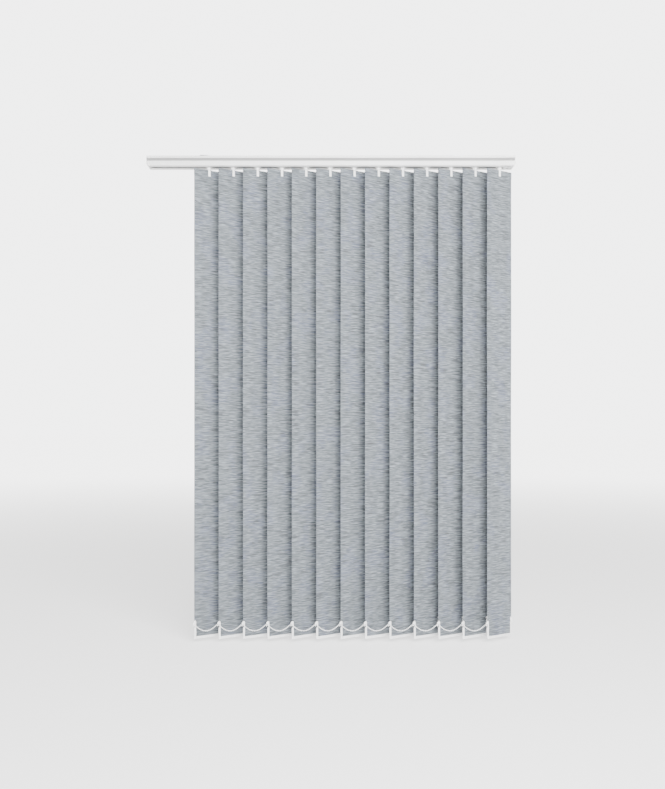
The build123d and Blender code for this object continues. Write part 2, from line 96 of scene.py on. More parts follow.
def softened(node_name, piece_name, corner):
    """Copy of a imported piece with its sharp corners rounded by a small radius."""
    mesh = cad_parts[node_name].data.copy()
    shape = bmesh.new()
    shape.from_mesh(mesh)
    bmesh.ops.remove_doubles(shape, verts=shape.verts, dist=WELD_DISTANCE)
    bmesh.ops.dissolve_limit(
        shape,
        angle_limit=math.radians(FLAT_WITHIN_DEGREES),
        verts=shape.verts,
        edges=shape.edges,
    )
    shape.to_mesh(mesh)
    shape.free()
    mesh.materials.clear()
    piece = placed(piece_name, mesh)
    rounding = piece.modifiers.new("Rounded corners", "BEVEL")
    rounding.width = corner
    rounding.segments = 2
    rounding.limit_method = "ANGLE"
    rounding.angle_limit = math.radians(ROUND_OVER_DEGREES)
    rounding.use_clamp_overlap = True
    rounding.harden_normals = False
    done = evaluated_mesh(piece)
    piece.modifiers.clear()
    piece.data = done
    done.name = piece_name
    smooth_by_angle(done, SHARP_OVER_DEGREES)
    return piece


def smooth_by_angle(mesh, degrees):
    """Smooth shading, with the edges that turn more than this kept sharp."""
    mesh.shade_smooth()
    mesh.set_sharp_from_angle(angle=math.radians(degrees))


def dress(piece, material, body, slot_name, *nodes):
    """Give a piece its finish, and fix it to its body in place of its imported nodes."""
    piece.data.materials.clear()
    piece.data.materials.append(material)
    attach(piece, body)
    if nodes:
        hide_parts(*nodes)
    return piece


def new_group(name, inputs, outputs, tree_type="ShaderNodeTree"):
    """Node group with its sockets: (name, kind, value) in, (name, kind) out."""
    group = bpy.data.node_groups.new(name, tree_type)
    for label, kind, value in inputs:
        socket = group.interface.new_socket(label, in_out="INPUT", socket_type=kind)
        if value is not None:
            socket.default_value = value
    for label, kind in outputs:
        group.interface.new_socket(label, in_out="OUTPUT", socket_type=kind)
    return group


# Shared finish: slow drifts of shade, such as settled dust and ageing, and the fine grain or
# orange peel of the surface, all in the object's own coordinates.
SURFACE_INPUTS = [
    ("Place", "NodeSocketVector", None),
    ("Colour", "NodeSocketColor", (0.8, 0.8, 0.8, 1)),
    ("Dusty Colour", "NodeSocketColor", (0.7, 0.7, 0.7, 1)),
    ("Drift Scale", "NodeSocketFloat", 12.0),
    ("Grain Scale", "NodeSocketFloat", 900.0),
    ("Smooth Roughness", "NodeSocketFloat", 0.3),
    ("Dusty Roughness", "NodeSocketFloat", 0.5),
]
surface_group = new_group(
    "Aged surface",
    SURFACE_INPUTS,
    [
        ("Colour", "NodeSocketColor"),
        ("Roughness", "NodeSocketFloat"),
        ("Grain", "NodeSocketFloat"),
    ],
)
nodes = surface_group.nodes
links = surface_group.links
group_in = nodes.new("NodeGroupInput")
group_out = nodes.new("NodeGroupOutput")
drift = nodes.new("ShaderNodeTexNoise")
drift.inputs["Detail"].default_value = 4
grain = nodes.new("ShaderNodeTexNoise")
grain.inputs["Detail"].default_value = 2
settle = nodes.new("ShaderNodeMapRange")
settle.inputs["From Min"].default_value = 0.35
settle.inputs["From Max"].default_value = 0.7
tone = nodes.new("ShaderNodeMix")
tone.data_type = "RGBA"
gloss = nodes.new("ShaderNodeMix")
gloss.data_type = "FLOAT"
links.new(group_in.outputs["Place"], drift.inputs["Vector"])
links.new(group_in.outputs["Drift Scale"], drift.inputs["Scale"])
links.new(group_in.outputs["Place"], grain.inputs["Vector"])
links.new(group_in.outputs["Grain Scale"], grain.inputs["Scale"])
links.new(drift.outputs["Fac"], settle.inputs["Value"])
links.new(settle.outputs["Result"], tone.inputs["Factor"])
links.new(group_in.outputs["Colour"], tone.inputs["A"])
links.new(group_in.outputs["Dusty Colour"], tone.inputs["B"])
links.new(settle.outputs["Result"], gloss.inputs["Factor"])
links.new(group_in.outputs["Smooth Roughness"], gloss.inputs["A"])
links.new(group_in.outputs["Dusty Roughness"], gloss.inputs["B"])
links.new(tone.outputs["Result"], group_out.inputs["Colour"])
links.new(gloss.outputs["Result"], group_out.inputs["Roughness"])
links.new(grain.outputs["Fac"], group_out.inputs["Grain"])


def surface_material(
    name, colour, dusty, roughness, drift_scale, grain_scale, grain_height, **shine
):
    """Principled material whose colour, gloss and grain come from the shared aged surface."""
    material = bpy.data.materials.new(name)
    material.use_nodes = True
    tree = material.node_tree
    shader = tree.nodes["Principled BSDF"]
    place = tree.nodes.new("ShaderNodeTexCoord")
    finish = tree.nodes.new("ShaderNodeGroup")
    finish.node_tree = surface_group
    finish.inputs["Colour"].default_value = (*colour, 1)
    finish.inputs["Dusty Colour"].default_value = (*dusty, 1)
    finish.inputs["Drift Scale"].default_value = drift_scale
    finish.inputs["Grain Scale"].default_value = grain_scale
    finish.inputs["Smooth Roughness"].default_value = roughness[0]
    finish.inputs["Dusty Roughness"].default_value = roughness[1]
    bump = tree.nodes.new("ShaderNodeBump")
    bump.inputs["Distance"].default_value = grain_height
    bump.inputs["Strength"].default_value = 0.6
    tree.links.new(place.outputs["Object"], finish.inputs["Place"])
    tree.links.new(finish.outputs["Colour"], shader.inputs["Base Color"])
    tree.links.new(finish.outputs["Roughness"], shader.inputs["Roughness"])
    tree.links.new(finish.outputs["Grain"], bump.inputs["Height"])
    tree.links.new(bump.outputs["Normal"], shader.inputs["Normal"])
    for socket, value in shine.items():
        shader.inputs[socket.replace("_", " ")].default_value = value
    return material


powder_coat = surface_material(
    "White powder coat",
    colour=(0.80, 0.80, 0.80),
    dusty=(0.74, 0.74, 0.735),
    roughness=(0.30, 0.42),
    drift_scale=6.0,
    grain_scale=1400.0,
    grain_height=0.00006,
    Coat_Weight=0.15,
    Coat_Roughness=0.25,
)
# The recessed band's darker grey is painted shade, where the band lies back under the bead.
band_painted_shade = surface_material(
    "Band painted shade",
    colour=(0.25, 0.25, 0.25),
    dusty=(0.23, 0.23, 0.23),
    roughness=(0.42, 0.5),
    drift_scale=6.0,
    grain_scale=1400.0,
    grain_height=0.00006,
)


def paint_band_shade(piece):
    """Darken the recessed band along both sides of a piece with a grey of painted shade."""
    piece.data.materials.append(band_painted_shade)
    for face in piece.data.polygons:
        high_enough = BAND_LOW < face.center.z < BAND_HIGH
        deep_enough = BAND_INSIDE < abs(face.center.y) < BAND_OUTSIDE
        faces_sideways = abs(face.normal.y) > 0.5
        if high_enough and deep_enough and faces_sideways:
            face.material_index = 1


rail_body = softened("headrail", "headrail_body", RAIL_CORNER)
dress(rail_body, powder_coat, "rail", "rail_white", "headrail")
# The rail's recessed band is darkened with painted shade.
paint_band_shade(rail_body)

# ---------------------------------------------------------------------------------------------
# End units: the control housing and the idle end cap, injection moulded in white to the rail's
# own outline and pushed into its ends, with finely textured faces and rounded lower corners.
MOULDED_CORNER = 0.0006
moulded_white = surface_material(
    "Moulded white",
    colour=(0.79, 0.79, 0.79),
    dusty=(0.73, 0.73, 0.725),
    roughness=(0.36, 0.5),
    drift_scale=9.0,
    grain_scale=1900.0,
    grain_height=0.0001,
)
for node_name, piece_name in (
    ("control_housing", "control_end_unit"),
    ("idle_end_cap", "idle_end_unit"),
):
    end_unit = softened(node_name, piece_name, MOULDED_CORNER)
    dress(end_unit, moulded_white, "rail", "housing_white", node_name)
    # The end units' recessed band is darkened with the same painted shade.
    paint_band_shade(end_unit)

# ---------------------------------------------------------------------------------------------
# Ceiling brackets: zinc-plated spring steel, pressed to a plate with jaws that snap over the
# rail's ribs, and held to the ceiling by two screws each.
SMALL_CORNER = 0.0002
zinc_plate = surface_material(
    "Zinc plated steel",
    colour=(0.62, 0.63, 0.65),
    dusty=(0.50, 0.51, 0.53),
    roughness=(0.28, 0.45),
    drift_scale=60.0,
    grain_scale=2600.0,
    grain_height=0.00003,
    Metallic=1.0,
)
for side in ("idle", "control"):
    dress(
        softened(f"bracket_{side}", f"bracket_{side}_plated", SMALL_CORNER),
        zinc_plate,
        "rail",
        "bracket_steel",
        f"bracket_{side}",
    )

# ---------------------------------------------------------------------------------------------
# Tilt drive: the fluted aluminium rod, the bead chain wheel on its driven end, its two acetal
# bushes, and the cord pulleys. Natural acetal is a milky white with a soft gloss.
ROD_CORNER = 0.00012
WHEEL_CORNER = 0.0003
mill_aluminium = surface_material(
    "Mill finish aluminium",
    colour=(0.66, 0.67, 0.68),
    dusty=(0.55, 0.56, 0.57),
    roughness=(0.3, 0.42),
    drift_scale=40.0,
    grain_scale=3000.0,
    grain_height=0.00002,
    Metallic=1.0,
)
acetal = surface_material(
    "Natural acetal",
    colour=(0.74, 0.74, 0.73),
    dusty=(0.66, 0.66, 0.64),
    roughness=(0.3, 0.45),
    drift_scale=35.0,
    grain_scale=2200.0,
    grain_height=0.00003,
)
dress(
    softened("tilt_rod", "fluted_rod", ROD_CORNER),
    mill_aluminium,
    "tilt_drive",
    "rod_aluminium",
    "tilt_rod",
)
for node_name, body, corner in (
    ("chain_wheel", "tilt_drive", WHEEL_CORNER),
    ("rod_bush_idle", "rail", SMALL_CORNER),
    ("rod_bush_control", "rail", SMALL_CORNER),
    ("guide_pulley_front", "guide_pulley_front_body", SMALL_CORNER),
    ("guide_pulley_back", "guide_pulley_back_body", SMALL_CORNER),
    ("return_pulley", "return_pulley_body", SMALL_CORNER),
):
    dress(
        softened(node_name, f"{node_name}_moulded", corner),
        acetal,
        body,
        "carrier_plastic",
        node_name,
    )

# ---------------------------------------------------------------------------------------------
# Carriers: thirteen acetal gliders that run on the rail's lips, each with its stem bearing, its
# two walls round the rod, and the thin spring strip that sets its distance from the next one.
LOUVRES = range(1, 14)
for number in LOUVRES:
    dress(
        softened(f"carrier_{number:02d}", f"glider_{number:02d}", SMALL_CORNER),
        acetal,
        "rail" if number == 13 else f"carrier_{number:02d}_body",
        "carrier_plastic",
        f"carrier_{number:02d}",
    )

# ---------------------------------------------------------------------------------------------
# Hooks: glossy white acetal mouldings, one to a louvre, with a toothed sector in the rail, a
# stem, a round collar under the rail and two prongs that reach down over the louvre's top.
HOOK_CORNER = 0.00042
hook_acetal = surface_material(
    "White acetal",
    colour=(0.92, 0.92, 0.92),
    dusty=(0.88, 0.88, 0.88),
    roughness=(0.22, 0.34),
    drift_scale=50.0,
    grain_scale=2400.0,
    grain_height=0.00002,
)
for number in LOUVRES:
    dress(
        softened(f"hook_{number:02d}", f"louvre_hook_{number:02d}", HOOK_CORNER),
        hook_acetal,
        f"vane_{number:02d}",
        "hook_white",
        f"hook_{number:02d}",
    )

# ---------------------------------------------------------------------------------------------
# Louvre fabric: one strip of blue-grey slub weave to a louvre, 89 mm wide, folded back at its
# top round the hanger plate and at its bottom round the weight, and welded along both pockets.
LOUVRE_TURN = math.radians(30)
FABRIC_THICKNESS = 0.00045
HALF_WIDTH = 0.0445
POCKET_HALF_WIDTH = 0.039
FABRIC_TOP = -0.039
FABRIC_BOTTOM = -1.351
TOP_SEAM = -0.059
BOTTOM_SEAM = -1.3058
PEG_WINDOW = 0.0023
PEG_LEVEL = -0.048
CUP_DEPTH = 0.0007
SLOW_DEPTH = 0.0005
RIPPLE_DEPTH = 0.00025
TOP_EASE = 0.25
BOTTOM_EASE = 0.2
CLOTH_SHIFT_ACROSS = 0.31
CLOTH_SHIFT_ALONG = 1.7

# Section of the folded strip, from the welded end behind the hanger, over the top, down the
# front and up behind the weight: (distance behind the louvre's plane, level, half width).
back_of_hanger = [
    (0.0004, TOP_SEAM + 0.0004),
    (0.0008, TOP_SEAM + 0.0020),
    (0.0010, TOP_SEAM + 0.0040),
    (0.0010, PEG_LEVEL - PEG_WINDOW),
    (0.0010, PEG_LEVEL + PEG_WINDOW),
    (0.0010, FABRIC_TOP - 0.0022),
    (0.0008, FABRIC_TOP - 0.0009),
    (0.0004, FABRIC_TOP - 0.0004),
]
front_of_hanger = [(-back, level) for back, level in reversed(back_of_hanger[1:])]
top_fold = [*back_of_hanger, (0.0, FABRIC_TOP - 0.00025), *front_of_hanger]
front_of_weight = [
    (0.0, BOTTOM_SEAM + 0.0014),
    (-0.0006, BOTTOM_SEAM),
    (-0.0012, BOTTOM_SEAM - 0.0020),
    (-0.0014, BOTTOM_SEAM - 0.0050),
    (-0.0014, FABRIC_BOTTOM + 0.0200),
    (-0.0014, FABRIC_BOTTOM + 0.0030),
    (-0.0012, FABRIC_BOTTOM + 0.0011),
    (-0.0006, FABRIC_BOTTOM + 0.0004),
]
back_of_weight = [(-back, level) for back, level in reversed(front_of_weight[1:])]
bottom_fold = [*front_of_weight, (0.0, FABRIC_BOTTOM + 0.00025), *back_of_weight]
PANEL_ROWS = 150
panel_top = TOP_SEAM - 0.0015
panel_bottom = BOTTOM_SEAM + 0.0026
panel = [
    (0.0, panel_top + (panel_bottom - panel_top) * row / PANEL_ROWS)
    for row in range(PANEL_ROWS + 1)
]
section = [(*point, HALF_WIDTH) for point in (*top_fold, *panel)]
section.append((*bottom_fold[0], HALF_WIDTH))
section += [(*point, POCKET_HALF_WIDTH) for point in bottom_fold[1:]]
window_rows = [
    row
    for row, (point, after) in enumerate(zip(section, section[1:]))
    if abs((point[1] + after[1]) / 2 - PEG_LEVEL) < 0.001
]

# Columns across the strip, closer at its heat-cut edges, with a pair at the peg's window.
COLUMNS = 13
side_columns = [
    PEG_WINDOW / HALF_WIDTH + (1 - PEG_WINDOW / HALF_WIDTH) * math.sin(math.pi / 2 * k / COLUMNS)
    for k in range(COLUMNS + 1)
]
columns = [-share for share in reversed(side_columns)] + side_columns
window_column = COLUMNS


def louvre_to_place(across, back, level, axis_x):
    """Point of a louvre at rest, from its distances across and behind its own plane."""
    return Vector(
        (
            axis_x + across * math.cos(LOUVRE_TURN) - back * math.sin(LOUVRE_TURN),
            across * math.sin(LOUVRE_TURN) + back * math.cos(LOUVRE_TURN),
            level,
        )
    )


def hang_wave(number, share, level):
    """How far the hanging cloth stands off its own plane: a slight cup and a slow, uneven wave."""
    free = min(1.0, (panel_top - level) / TOP_EASE, (level - panel_bottom) / BOTTOM_EASE)
    if free <= 0:
        return 0.0
    ease = free * free * (3 - 2 * free)
    phase = 1.7 * number
    cup = CUP_DEPTH * (1 - share * share) * math.sin(0.9 * number + 1.1)
    slow = SLOW_DEPTH * math.sin(5.2 * level + phase) * share
    ripple = RIPPLE_DEPTH * math.sin(14.0 * level + 2.3 * phase + 1.8 * share)
    return ease * (cup + slow + ripple)


def fabric_strip(number, axis_x):
    """Folded strip of cloth for one louvre, with a flat-cut UV map in metres.

    Each louvre's map is shifted, so that no two show the same stretch of cloth.
    """
    shape = bmesh.new()
    cloth_map = shape.loops.layers.uv.new("Cloth")
    run = [0.0]
    for before, after in zip(section, section[1:]):
        run.append(run[-1] + math.dist(before[:2], after[:2]))
    rows = [
        [
            shape.verts.new(
                louvre_to_place(
                    share * half_width, back - hang_wave(number, share, level), level, axis_x
                )
            )
            for share in columns
        ]
        for back, level, half_width in section
    ]
    for row in range(len(rows) - 1):
        for column in range(len(columns) - 1):
            if column == window_column and row in window_rows:
                continue
            corners = (
                (row, column),
                (row + 1, column),
                (row + 1, column + 1),
                (row, column + 1),
            )
            face = shape.faces.new([rows[r][c] for r, c in corners])
            for loop, (r, c) in zip(face.loops, corners):
                across = columns[c] * section[r][2]
                loop[cloth_map].uv = (
                    across + CLOTH_SHIFT_ACROSS * number,
                    run[r] + CLOTH_SHIFT_ALONG * number,
                )
    mesh = bpy.data.meshes.new(f"louvre_fabric_{number:02d}")
    shape.to_mesh(mesh)
    shape.free()
    mesh.shade_smooth()
    strip = placed(mesh.name, mesh)
    thickness = strip.modifiers.new("Cloth thickness", "SOLIDIFY")
    thickness.thickness = FABRIC_THICKNESS
    thickness.offset = 0
    return strip


# The cloth's finish: fine weft and warp threads, thicker slub yarns that lie across the strip
# as short light and dark streaks, and soft bluish and greyish clouds from uneven dyeing.
weave_group = new_group(
    "Slub weave",
    [
        ("Cloth", "NodeSocketVector", None),
        ("Yarn", "NodeSocketColor", (0.4, 0.42, 0.45, 1)),
        ("Light Slub", "NodeSocketColor", (0.5, 0.52, 0.54, 1)),
        ("Dark Slub", "NodeSocketColor", (0.25, 0.26, 0.28, 1)),
        ("Cloud", "NodeSocketColor", (0.4, 0.4, 0.45, 1)),
    ],
    [
        ("Colour", "NodeSocketColor"),
        ("Roughness", "NodeSocketFloat"),
        ("Relief", "NodeSocketFloat"),
    ],
)
nodes = weave_group.nodes
links = weave_group.links
group_in = nodes.new("NodeGroupInput")
group_out = nodes.new("NodeGroupOutput")


def stretched_noise(across_scale, along_scale, detail):
    """Noise drawn out along the weft: its scales are per metre across and along the strip."""
    stretch = nodes.new("ShaderNodeVectorMath")
    stretch.operation = "MULTIPLY"
    stretch.inputs[1].default_value = (across_scale, along_scale, 1)
    noise = nodes.new("ShaderNodeTexNoise")
    noise.inputs["Scale"].default_value = 1
    noise.inputs["Detail"].default_value = detail
    noise.inputs["Roughness"].default_value = 0.55
    links.new(group_in.outputs["Cloth"], stretch.inputs[0])
    links.new(stretch.outputs["Vector"], noise.inputs["Vector"])
    return noise.outputs["Fac"]


def ramped(value, low, high, start=0.0, finish=1.0):
    """Value eased from one level to another between two limits."""
    node = nodes.new("ShaderNodeMapRange")
    node.interpolation_type = "SMOOTHSTEP"
    node.inputs["From Min"].default_value = low
    node.inputs["From Max"].default_value = high
    node.inputs["To Min"].default_value = start
    node.inputs["To Max"].default_value = finish
    links.new(value, node.inputs["Value"])
    return node.outputs["Result"]


def mixed(factor, first, second):
    """Colour mix of two sockets by a mask."""
    node = nodes.new("ShaderNodeMix")
    node.data_type = "RGBA"
    links.new(factor, node.inputs["Factor"])
    links.new(first, node.inputs["A"])
    links.new(second, node.inputs["B"])
    return node.outputs["Result"]


def added(first, second, share):
    """First value plus a share of the second."""
    node = nodes.new("ShaderNodeMath")
    node.operation = "MULTIPLY_ADD"
    links.new(second, node.inputs[0])
    node.inputs[1].default_value = share
    links.new(first, node.inputs[2])
    return node.outputs["Value"]


def thread_ridges(direction, pitch):
    """Round ridges of threads at a steady pitch."""
    wave = nodes.new("ShaderNodeTexWave")
    wave.bands_direction = direction
    wave.inputs["Scale"].default_value = 2 * math.pi / 20 / pitch
    wave.inputs["Distortion"].default_value = 1.2
    wave.inputs["Detail"].default_value = 1
    links.new(group_in.outputs["Cloth"], wave.inputs["Vector"])
    return wave.outputs["Fac"]


light_streaks = ramped(stretched_noise(38, 540, 1), 0.45, 0.62)
dark_streaks = ramped(stretched_noise(32, 480, 1), 0.46, 0.64)
long_streaks = ramped(stretched_noise(13, 290, 1), 0.42, 0.60)
clouds = ramped(stretched_noise(15, 12, 2), 0.47, 0.63)
weft = thread_ridges("Y", 0.0009)
warp = thread_ridges("X", 0.0008)
colour = mixed(clouds, group_in.outputs["Yarn"], group_in.outputs["Cloud"])
colour = mixed(light_streaks, colour, group_in.outputs["Light Slub"])
colour = mixed(dark_streaks, colour, group_in.outputs["Dark Slub"])
colour = mixed(ramped(long_streaks, 0, 1, 0.0, 0.35), colour, group_in.outputs["Light Slub"])
# The colour is a little lighter on the thread ridges and darker between them: painted light and
# shade of the threads.
shade = nodes.new("ShaderNodeCombineColor")
thread_shade = ramped(added(weft, warp, 0.6), 0.1, 1.3, 0.90, 1.04)
for channel in ("Red", "Green", "Blue"):
    links.new(thread_shade, shade.inputs[channel])
whole = nodes.new("ShaderNodeMix")
whole.data_type = "RGBA"
whole.blend_type = "MULTIPLY"
whole.inputs["Factor"].default_value = 1
links.new(colour, whole.inputs["A"])
links.new(shade.outputs["Color"], whole.inputs["B"])
links.new(whole.outputs["Result"], group_out.inputs["Colour"])
links.new(ramped(light_streaks, 0, 1, 0.86, 0.72), group_out.inputs["Roughness"])
relief = added(added(added(light_streaks, dark_streaks, 0.7), long_streaks, 0.4), weft, 0.35)
links.new(added(relief, warp, 0.2), group_out.inputs["Relief"])

slub_fabric = bpy.data.materials.new("Blue-grey slub weave")
slub_fabric.use_nodes = True
tree = slub_fabric.node_tree
shader = tree.nodes["Principled BSDF"]
cloth_place = tree.nodes.new("ShaderNodeUVMap")
cloth_place.uv_map = "Cloth"
weave = tree.nodes.new("ShaderNodeGroup")
weave.node_tree = weave_group
weave.inputs["Yarn"].default_value = (0.099, 0.112, 0.122, 1)
weave.inputs["Light Slub"].default_value = (0.240, 0.268, 0.293, 1)
weave.inputs["Dark Slub"].default_value = (0.080, 0.088, 0.096, 1)
weave.inputs["Cloud"].default_value = (0.108, 0.122, 0.170, 1)
relief_bump = tree.nodes.new("ShaderNodeBump")
relief_bump.inputs["Distance"].default_value = 0.00025
relief_bump.inputs["Strength"].default_value = 0.8
tree.links.new(cloth_place.outputs["UV"], weave.inputs["Cloth"])
tree.links.new(weave.outputs["Colour"], shader.inputs["Base Color"])
tree.links.new(weave.outputs["Roughness"], shader.inputs["Roughness"])
tree.links.new(weave.outputs["Relief"], relief_bump.inputs["Height"])
tree.links.new(relief_bump.outputs["Normal"], shader.inputs["Normal"])
shader.inputs["Sheen Weight"].default_value = 0.12
shader.inputs["Sheen Roughness"].default_value = 0.5
shader.inputs["Specular IOR Level"].default_value = 0.25

hook_axes = {}
for number in LOUVRES:
    low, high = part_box(f"hook_{number:02d}")
    hook_axes[number] = (low.x + high.x) / 2
    strip = fabric_strip(number, hook_axes[number])
    dress(strip, slub_fabric, f"vane_{number:02d}", "louvre_fabric", f"louvre_{number:02d}")

# ---------------------------------------------------------------------------------------------
# Louvre fittings: the hanger plate in the top pocket, the white coated weight that slides into
# the bottom pocket and shows below it, the two chain clips on its upper corners, and the chain
# rings round their posts. Each is drawn once on a louvre's own plane, then set on every louvre.
HANGER_WIDTH = 0.062
HANGER_THICKNESS = 0.0012
HANGER_LOW = TOP_SEAM + 0.00315
HANGER_HIGH = HANGER_LOW + 0.0147
HOLE_RADIUS = 0.0021
HOLE_SIDES = 16
WEIGHT_LEVEL = -1.3578
WEIGHT_THICKNESS = 0.002
WEIGHT_SHOULDER = 0.033
WEIGHT_HEIGHT = 0.04885
WEIGHT_INSET = 0.0027
CLIP_LOW = WEIGHT_LEVEL + 0.042
CLIP_SHOULDER = WEIGHT_LEVEL + 0.0455
CLIP_HIGH = WEIGHT_LEVEL + 0.0505
CLIP_LENGTH = 0.0073
CLIP_TIP = 0.0026
CLIP_THICKNESS = 0.0034
POST_REACH = 0.047
POST_RADIUS = 0.0008
POST_LENGTH = 0.0058
RING_LEVEL = WEIGHT_LEVEL + 0.0398


def plate(outline, thickness, corner_edges=0.0004):
    """Flat moulding from its outline across and up, as a closed mesh with softened edges."""
    shape = bmesh.new()
    front = [shape.verts.new((x, -thickness / 2, z)) for x, z in outline]
    back = [shape.verts.new((x, thickness / 2, z)) for x, z in outline]
    shape.faces.new(front)
    shape.faces.new(list(reversed(back)))
    for k in range(len(outline)):
        after = (k + 1) % len(outline)
        shape.faces.new((front[after], front[k], back[k], back[after]))
    bmesh.ops.recalc_face_normals(shape, faces=shape.faces)
    sharp = [edge for edge in shape.edges if edge.calc_face_angle(0) > math.radians(40)]
    bmesh.ops.bevel(
        shape, geom=sharp, offset=corner_edges, segments=2, profile=0.5, affect="EDGES"
    )
    return shape


def lathe(profile, centre, sides=16):
    """Turned piece from (radius, level) points, about an upright axis at a place across."""
    shape = bmesh.new()
    rings = []
    for radius, level in profile:
        if radius == 0:
            rings.append([shape.verts.new((centre, 0, level))])
            continue
        rings.append(
            [
                shape.verts.new(
                    (
                        centre + radius * math.cos(2 * math.pi * k / sides),
                        radius * math.sin(2 * math.pi * k / sides),
                        level,
                    )
                )
                for k in range(sides)
            ]
        )
    for lower, upper in zip(rings, rings[1:]):
        for k in range(sides):
            after = (k + 1) % sides
            corners = [lower[k % len(lower)], lower[after % len(lower)]]
            corners += [upper[after % len(upper)], upper[k % len(upper)]]
            unique = list(dict.fromkeys(corners))
            if len(unique) > 2:
                shape.faces.new(unique)
    bmesh.ops.recalc_face_normals(shape, faces=shape.faces)
    return shape


def joined_mesh(name, shapes, degrees=35):
    """One mesh from several drawn shapes."""
    mesh = bpy.data.meshes.new(name)
    whole_shape = bmesh.new()
    for shape in shapes:
        part = bpy.data.meshes.new("part")
        shape.to_mesh(part)
        shape.free()
        whole_shape.from_mesh(part)
        bpy.data.meshes.remove(part)
    whole_shape.to_mesh(mesh)
    whole_shape.free()
    smooth_by_angle(mesh, degrees)
    return mesh


def angle_round_peg(x, z):
    """Direction of a point of the hanger plate, seen from the middle of the peg's hole."""
    return math.atan2(z - PEG_LEVEL, x)


def hanger_drawing():
    """Hanger plate with the round hole that the hook's peg passes through."""
    half = HANGER_WIDTH / 2
    hole = [
        (
            HOLE_RADIUS * math.cos(2 * math.pi * k / HOLE_SIDES),
            PEG_LEVEL + HOLE_RADIUS * math.sin(2 * math.pi * k / HOLE_SIDES),
        )
        for k in range(HOLE_SIDES)
    ]

    # Each point of the hole is carried straight out to the plate's edge.
    outer = []
    for x, z in hole:
        rise = z - PEG_LEVEL
        reach = min(
            abs(half / x) if abs(x) > 1e-9 else 1e9,
            abs((HANGER_HIGH - PEG_LEVEL) / rise) if rise > 1e-9 else 1e9,
            abs((HANGER_LOW - PEG_LEVEL) / rise) if -rise > 1e-9 else 1e9,
        )
        outer.append((x * reach, PEG_LEVEL + rise * reach))
    corners = [(half, HANGER_HIGH), (-half, HANGER_HIGH), (-half, HANGER_LOW), (half, HANGER_LOW)]
    shape = bmesh.new()
    layers = []
    for y in (-HANGER_THICKNESS / 2, HANGER_THICKNESS / 2):
        inner_ring = [shape.verts.new((x, y, z)) for x, z in hole]
        outer_ring = [shape.verts.new((x, y, z)) for x, z in outer]
        corner_points = [shape.verts.new((x, y, z)) for x, z in corners]
        layers.append((inner_ring, outer_ring, corner_points))

    # The rim runs round the edge points, with the plate's corners between them.
    rim = []
    for k in range(HOLE_SIDES):
        rim.append(("outer", k))
        here = angle_round_peg(*outer[k])
        span = (angle_round_peg(*outer[(k + 1) % HOLE_SIDES]) - here) % (2 * math.pi)
        for c, corner in enumerate(corners):
            step = (angle_round_peg(*corner) - here) % (2 * math.pi)
            if 1e-6 < step < span - 1e-6:
                rim.append(("corner", c))
    for inner_ring, outer_ring, corner_points in layers:
        for k in range(HOLE_SIDES):
            after = (k + 1) % HOLE_SIDES
            between = []
            position = (rim.index(("outer", k)) + 1) % len(rim)
            while rim[position][0] == "corner":
                between.append(corner_points[rim[position][1]])
                position = (position + 1) % len(rim)
            shape.faces.new(
                [inner_ring[k], outer_ring[k], *between, outer_ring[after], inner_ring[after]]
            )
    front, back = layers
    for k in range(HOLE_SIDES):
        after = (k + 1) % HOLE_SIDES
        shape.faces.new([front[0][k], front[0][after], back[0][after], back[0][k]])
    edges = [
        [(layer[1][k] if kind == "outer" else layer[2][k]) for kind, k in rim] for layer in layers
    ]
    for k in range(len(rim)):
        after = (k + 1) % len(rim)
        shape.faces.new([edges[0][k], edges[0][after], edges[1][after], edges[1][k]])
    bmesh.ops.recalc_face_normals(shape, faces=shape.faces)
    return shape


def weight_drawing():
    """Coated weight: a flat bar with narrowed shoulders where the chain clips snap on."""
    half = HALF_WIDTH
    low, top = WEIGHT_LEVEL, WEIGHT_LEVEL + WEIGHT_HEIGHT
    shoulder = WEIGHT_LEVEL + WEIGHT_SHOULDER
    corner = 0.0016
    right = [
        (half - corner, low),
        (half - 0.3 * corner, low + 0.3 * corner),
        (half, low + corner),
        (half, shoulder - corner),
        (half - 0.3 * corner, shoulder - 0.3 * corner),
        (half - WEIGHT_INSET, shoulder),
        (half - WEIGHT_INSET, top - 0.001),
        (half - WEIGHT_INSET - 0.001, top),
    ]
    outline = right + [(-x, z) for x, z in reversed(right)]
    return plate(outline, WEIGHT_THICKNESS, 0.0005)


def clip_drawing():
    """Chain clip: a small block that snaps over a shoulder of the weight, and its headed post."""
    outer = POST_REACH + POST_RADIUS + 0.0005
    inner = outer - CLIP_LENGTH
    outline = [
        (inner, CLIP_LOW),
        (outer, CLIP_LOW),
        (outer, CLIP_SHOULDER),
        (inner + CLIP_TIP, CLIP_HIGH),
        (inner, CLIP_HIGH),
    ]
    low = CLIP_LOW - POST_LENGTH
    post = [
        (0, low),
        (0.0010, low + 0.0001),
        (0.0014, low + 0.0004),
        (0.0012, low + 0.0008),
        (POST_RADIUS, low + 0.0011),
        (POST_RADIUS, CLIP_LOW + 0.0002),
        (0, CLIP_LOW + 0.0003),
    ]
    return [plate(outline, CLIP_THICKNESS, 0.0005), lathe(post, POST_REACH)]


def ring_drawing():
    """End ring of the bottom chain, turned round a clip's post."""
    middle, tube_across, tube_up = 0.00155, 0.00047, 0.0011
    profile = [
        (
            middle + tube_across * math.cos(2 * math.pi * k / 10),
            RING_LEVEL + tube_up * math.sin(2 * math.pi * k / 10),
        )
        for k in range(11)
    ]
    ring = lathe(profile, POST_REACH, sides=20)
    bmesh.ops.remove_doubles(ring, verts=ring.verts, dist=1e-7)
    bmesh.ops.recalc_face_normals(ring, faces=ring.faces)
    return ring


